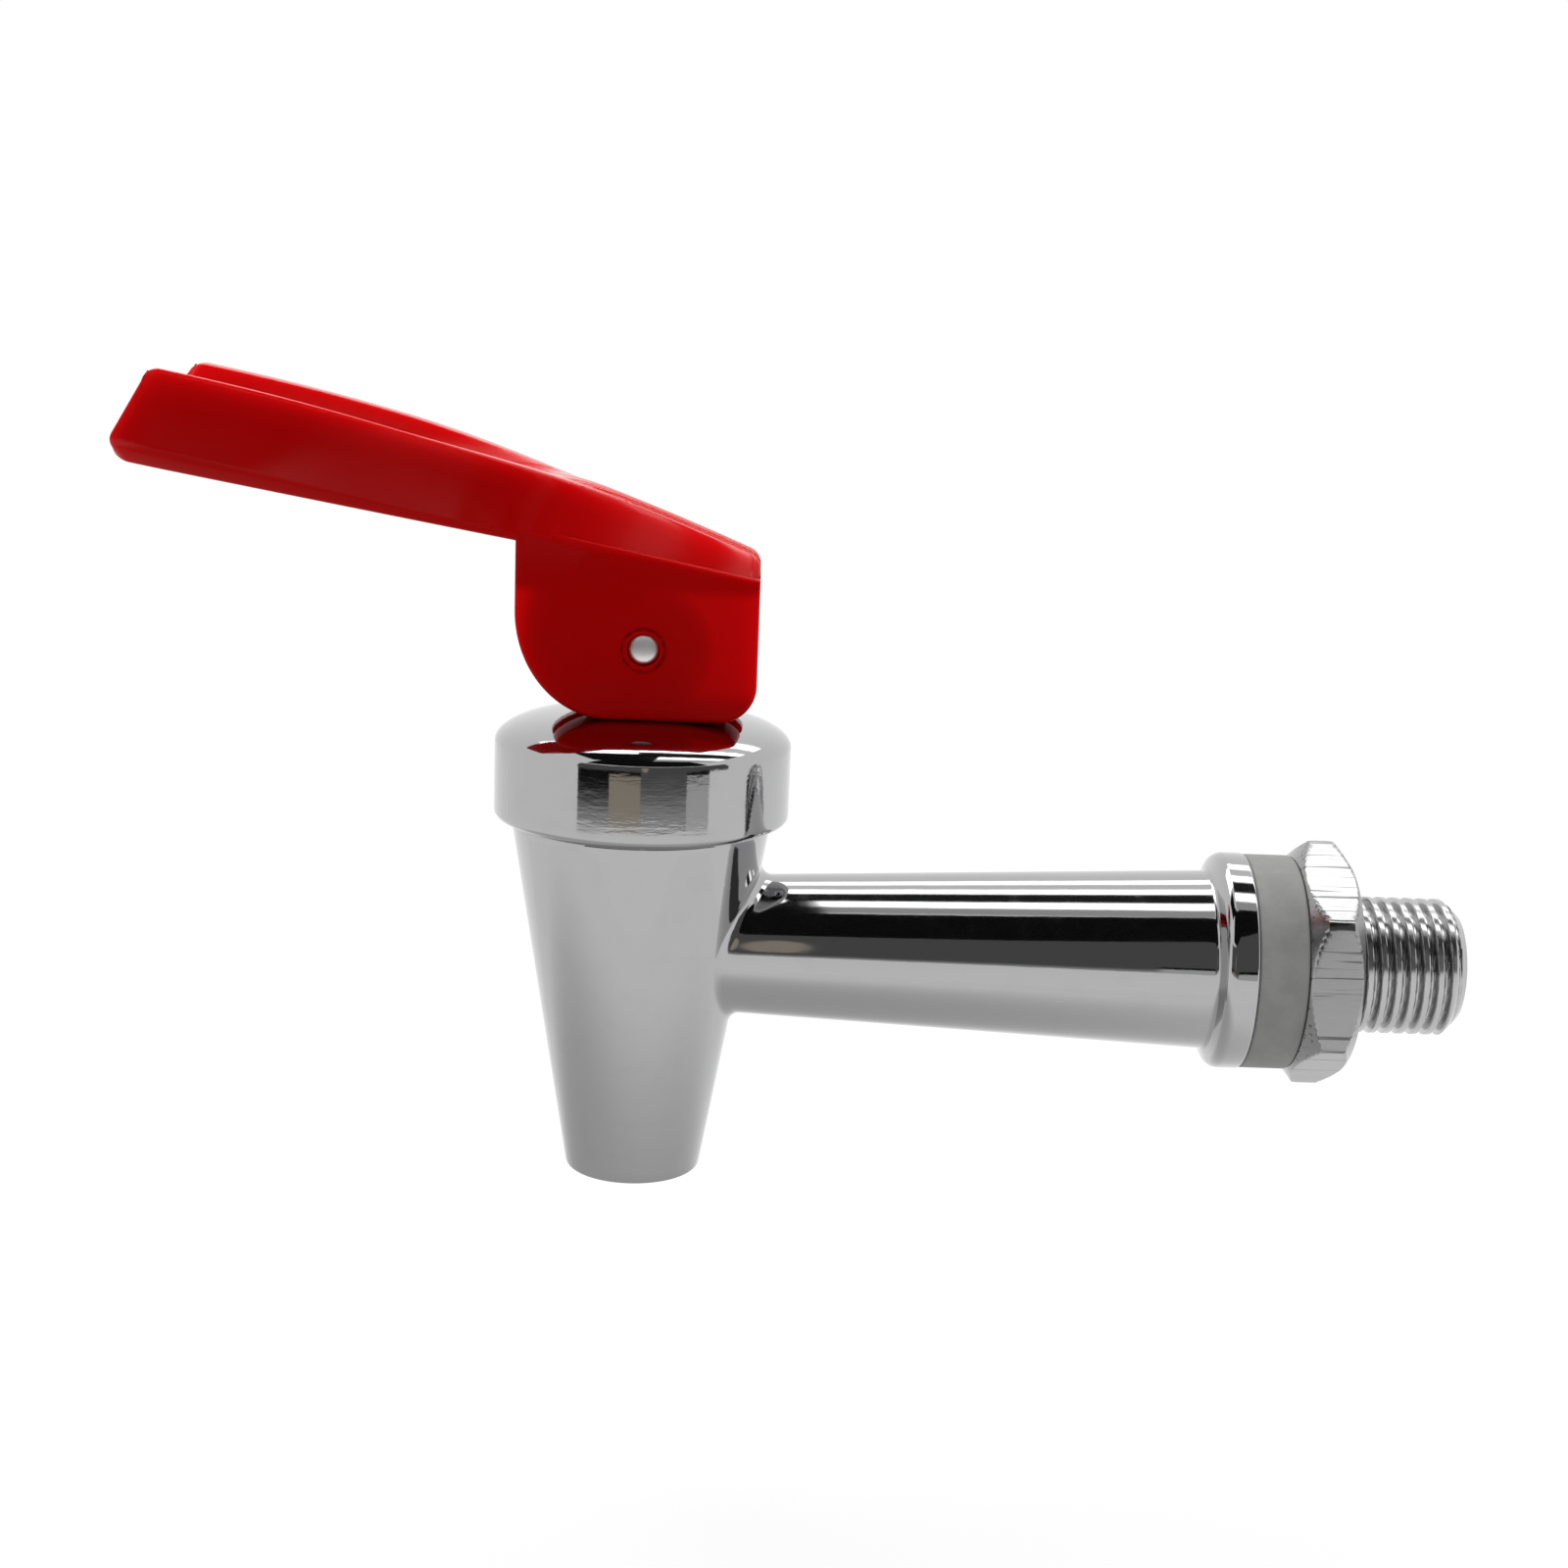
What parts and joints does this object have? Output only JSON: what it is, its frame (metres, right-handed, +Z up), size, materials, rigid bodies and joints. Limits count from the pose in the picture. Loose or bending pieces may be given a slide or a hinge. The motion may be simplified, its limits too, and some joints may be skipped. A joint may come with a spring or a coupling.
{
  "type": "water boiler faucet",
  "caption": "Self-closing push-down faucet for a water boiler: tapered chromed spout and inlet arm, domed bonnet, red cam lever, threaded shank with washer and lock nut.",
  "frame": {"origin": "centre of the flange face that seats on the boiler wall, on the shank axis", "axes": "+X along the shank into the boiler, +Z up; the spout axis stands at -X, parallel to Z"},
  "size_m": [0.1265, 0.028, 0.0756],
  "materials": {
    "chromed_brass": "polished",
    "red_plastic": "glossy, slightly translucent",
    "stainless": "satin",
    "spring_steel": "drawn wire",
    "seat_silicone": "matte",
    "slip_plastic": "matte",
    "grey_rubber": "matte",
    "nickel_nut": "machined"
  },
  "bodies": {
    "tap": {"body_casting": "chromed_brass", "bonnet_cap": "chromed_brass", "seat_cup": "seat_silicone", "shank_washer": "grey_rubber", "lock_nut": "nickel_nut"},
    "spring_rest": {"spring_washer": "slip_plastic", "compression_spring": "spring_steel"},
    "valve": {"valve_stem": "stainless", "pivot_pin": "stainless"},
    "handle": {"lever": "red_plastic"}
  },
  "joints": [
    {"name": "swivel", "type": "hinge", "parent": "tap", "child": "spring_rest", "pos_m": [-0.058, 0, 0.0174], "axis": [0, 0, 1], "continuous": true},
    {"name": "stem_lift", "type": "slide", "parent": "spring_rest", "child": "valve", "axis": [0, 0, 1], "range_m": [0, 0.00175], "deforming": ["compression_spring", "seat_cup"]},
    {"name": "lever_press", "type": "hinge", "parent": "valve", "child": "handle", "pos_m": [-0.058, 0, 0.02902], "axis": [0, -1, 0], "range_deg": [0, 31], "stiffness_Nm_per_rad": 0.0168, "springref_deg": -171.89}
  ],
  "couplings": [
    {"joint": "lever_press", "follows": "stem_lift", "rad_per_m": 298.5}
  ]
}
